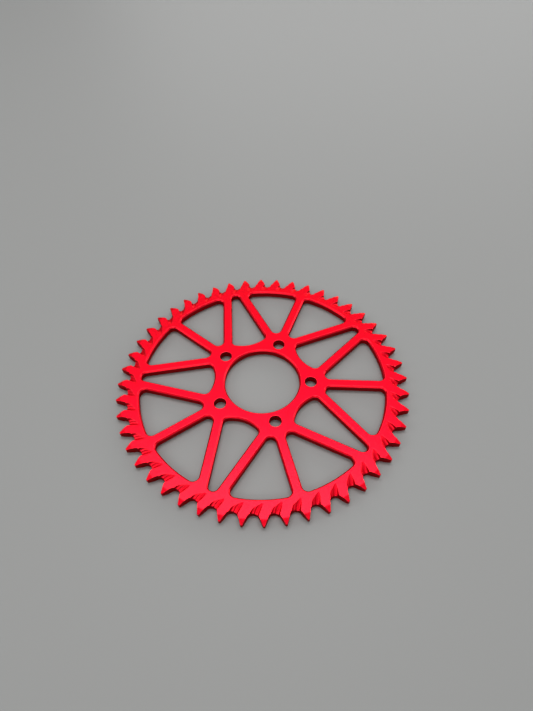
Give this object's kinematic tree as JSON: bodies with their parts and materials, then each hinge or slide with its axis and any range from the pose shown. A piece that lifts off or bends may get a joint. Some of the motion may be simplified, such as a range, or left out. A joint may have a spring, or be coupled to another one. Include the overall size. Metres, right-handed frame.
{
  "type": "rear chain sprocket",
  "caption": "Flat one-piece rear chain sprocket with a toothed rim, slanted mud-relief grooves, slim paired spokes, a centre bore and a circle of bolt holes.",
  "frame": {"origin": "centre of the bore on the back face, the face that lies against the wheel's carrier", "axes": "+Z along the wheel axis, out of the grooved outer face; +X through a bolt hole and a tooth gap"},
  "size_m": [0.201, 0.201, 0.0058],
  "materials": {
    "anodised_red": "satin red anodised"
  },
  "bodies": {
    "root": {"sprocket": "anodised_red"}
  },
  "joints": []
}
